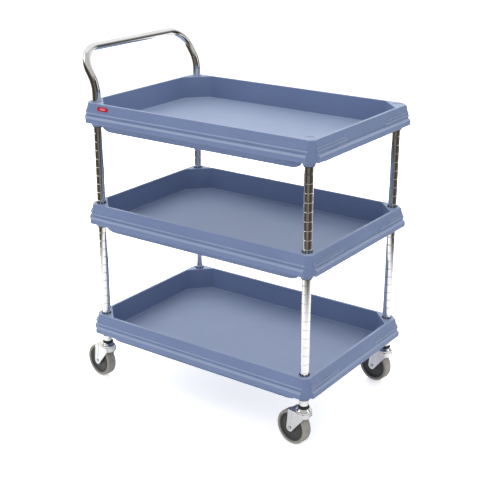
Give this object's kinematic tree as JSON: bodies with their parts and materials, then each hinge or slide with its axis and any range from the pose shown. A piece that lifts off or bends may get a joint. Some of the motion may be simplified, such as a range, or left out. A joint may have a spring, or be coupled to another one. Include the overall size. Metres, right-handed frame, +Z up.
{
  "type": "food service trolley",
  "caption": "Three-tier food service trolley: deep moulded trays on grooved chrome posts, a chrome push handle and swivel casters.",
  "frame": {"origin": "on the floor under the middle of the whole trolley, casters trailing towards the handle end", "axes": "+Z up, +X along the trolley away from the push handle, +Y to the pusher's left"},
  "size_m": [0.8444, 0.546, 1.0344],
  "materials": {
    "tray_polymer": "satin moulded polymer, slate blue",
    "sleeve_plastic": "satin moulded black",
    "cap_plastic": "satin moulded",
    "badge_red": "glossy, plain",
    "chrome_tube": "polished chrome plate",
    "grooved_chrome": "polished chrome plate with rolled grooves",
    "caster_chrome": "chrome-plated pressed steel",
    "axle_zinc": "zinc plated",
    "plain_steel": "bright steel",
    "seal_rubber": "matt black",
    "hub_plastic": "dark grey moulded",
    "grey_tyre": "grey non-marking rubber"
  },
  "bodies": {
    "trolley_frame": {"tray_bottom": "tray_polymer", "sleeves_bottom_front": "sleeve_plastic", "sleeves_bottom_rear": "sleeve_plastic", "tray_middle": "tray_polymer", "sleeves_middle_front": "sleeve_plastic", "sleeves_middle_rear": "sleeve_plastic", "tray_top": "tray_polymer", "sleeves_top_front": "sleeve_plastic", "sleeves_top_rear": "sleeve_plastic", "push_handle": "chrome_tube", "handle_joiners": "plain_steel", "post_caps": "cap_plastic", "badge_plate": "badge_red", "post_front_right": "grooved_chrome", "caster_front_right_stem": "plain_steel", "caster_front_right_bearing_cup": "caster_chrome", "caster_front_right_seal_ring": "seal_rubber", "post_front_left": "grooved_chrome", "caster_front_left_stem": "plain_steel", "caster_front_left_bearing_cup": "caster_chrome", "caster_front_left_seal_ring": "seal_rubber", "post_rear_right": "grooved_chrome", "caster_rear_right_stem": "plain_steel", "caster_rear_right_bearing_cup": "caster_chrome", "caster_rear_right_seal_ring": "seal_rubber", "post_rear_left": "grooved_chrome", "caster_rear_left_stem": "plain_steel", "caster_rear_left_bearing_cup": "caster_chrome", "caster_rear_left_seal_ring": "seal_rubber"},
    "swivel_front_right": {"caster_front_right_fork": "caster_chrome", "caster_front_right_bearing_balls": "plain_steel", "caster_front_right_axle_bolt": "axle_zinc", "caster_front_right_axle_nut": "axle_zinc", "caster_front_right_wheel_bush": "plain_steel"},
    "wheel_front_right": {"caster_front_right_wheel_hub": "hub_plastic", "caster_front_right_tyre": "grey_tyre"},
    "swivel_front_left": {"caster_front_left_fork": "caster_chrome", "caster_front_left_bearing_balls": "plain_steel", "caster_front_left_axle_bolt": "axle_zinc", "caster_front_left_axle_nut": "axle_zinc", "caster_front_left_wheel_bush": "plain_steel"},
    "wheel_front_left": {"caster_front_left_wheel_hub": "hub_plastic", "caster_front_left_tyre": "grey_tyre"},
    "swivel_rear_right": {"caster_rear_right_fork": "caster_chrome", "caster_rear_right_bearing_balls": "plain_steel", "caster_rear_right_axle_bolt": "axle_zinc", "caster_rear_right_axle_nut": "axle_zinc", "caster_rear_right_wheel_bush": "plain_steel"},
    "wheel_rear_right": {"caster_rear_right_wheel_hub": "hub_plastic", "caster_rear_right_tyre": "grey_tyre"},
    "swivel_rear_left": {"caster_rear_left_fork": "caster_chrome", "caster_rear_left_bearing_balls": "plain_steel", "caster_rear_left_axle_bolt": "axle_zinc", "caster_rear_left_axle_nut": "axle_zinc", "caster_rear_left_wheel_bush": "plain_steel"},
    "wheel_rear_left": {"caster_rear_left_wheel_hub": "hub_plastic", "caster_rear_left_tyre": "grey_tyre"}
  },
  "joints": [
    {"name": "swivel_turn_front_right", "type": "hinge", "parent": "trolley_frame", "child": "swivel_front_right", "pos_m": [0.3829, -0.234, 0.1107], "axis": [0, 0, 1], "continuous": true},
    {"name": "wheel_spin_front_right", "type": "hinge", "parent": "swivel_front_right", "child": "wheel_front_right", "pos_m": [0.34932, -0.22868, 0.0508], "axis": [0.1564, 0.9877, 0], "continuous": true},
    {"name": "swivel_turn_front_left", "type": "hinge", "parent": "trolley_frame", "child": "swivel_front_left", "pos_m": [0.3829, 0.234, 0.1107], "axis": [0, 0, 1], "continuous": true},
    {"name": "wheel_spin_front_left", "type": "hinge", "parent": "swivel_front_left", "child": "wheel_front_left", "pos_m": [0.34932, 0.23932, 0.0508], "axis": [0.1564, 0.9877, 0], "continuous": true},
    {"name": "swivel_turn_rear_right", "type": "hinge", "parent": "trolley_frame", "child": "swivel_rear_right", "pos_m": [-0.3371, -0.234, 0.1107], "axis": [0, 0, 1], "continuous": true},
    {"name": "wheel_spin_rear_right", "type": "hinge", "parent": "swivel_rear_right", "child": "wheel_rear_right", "pos_m": [-0.37068, -0.22868, 0.0508], "axis": [0.1564, 0.9877, 0], "continuous": true},
    {"name": "swivel_turn_rear_left", "type": "hinge", "parent": "trolley_frame", "child": "swivel_rear_left", "pos_m": [-0.3371, 0.234, 0.1107], "axis": [0, 0, 1], "continuous": true},
    {"name": "wheel_spin_rear_left", "type": "hinge", "parent": "swivel_rear_left", "child": "wheel_rear_left", "pos_m": [-0.37068, 0.23932, 0.0508], "axis": [0.1564, 0.9877, 0], "continuous": true}
  ]
}
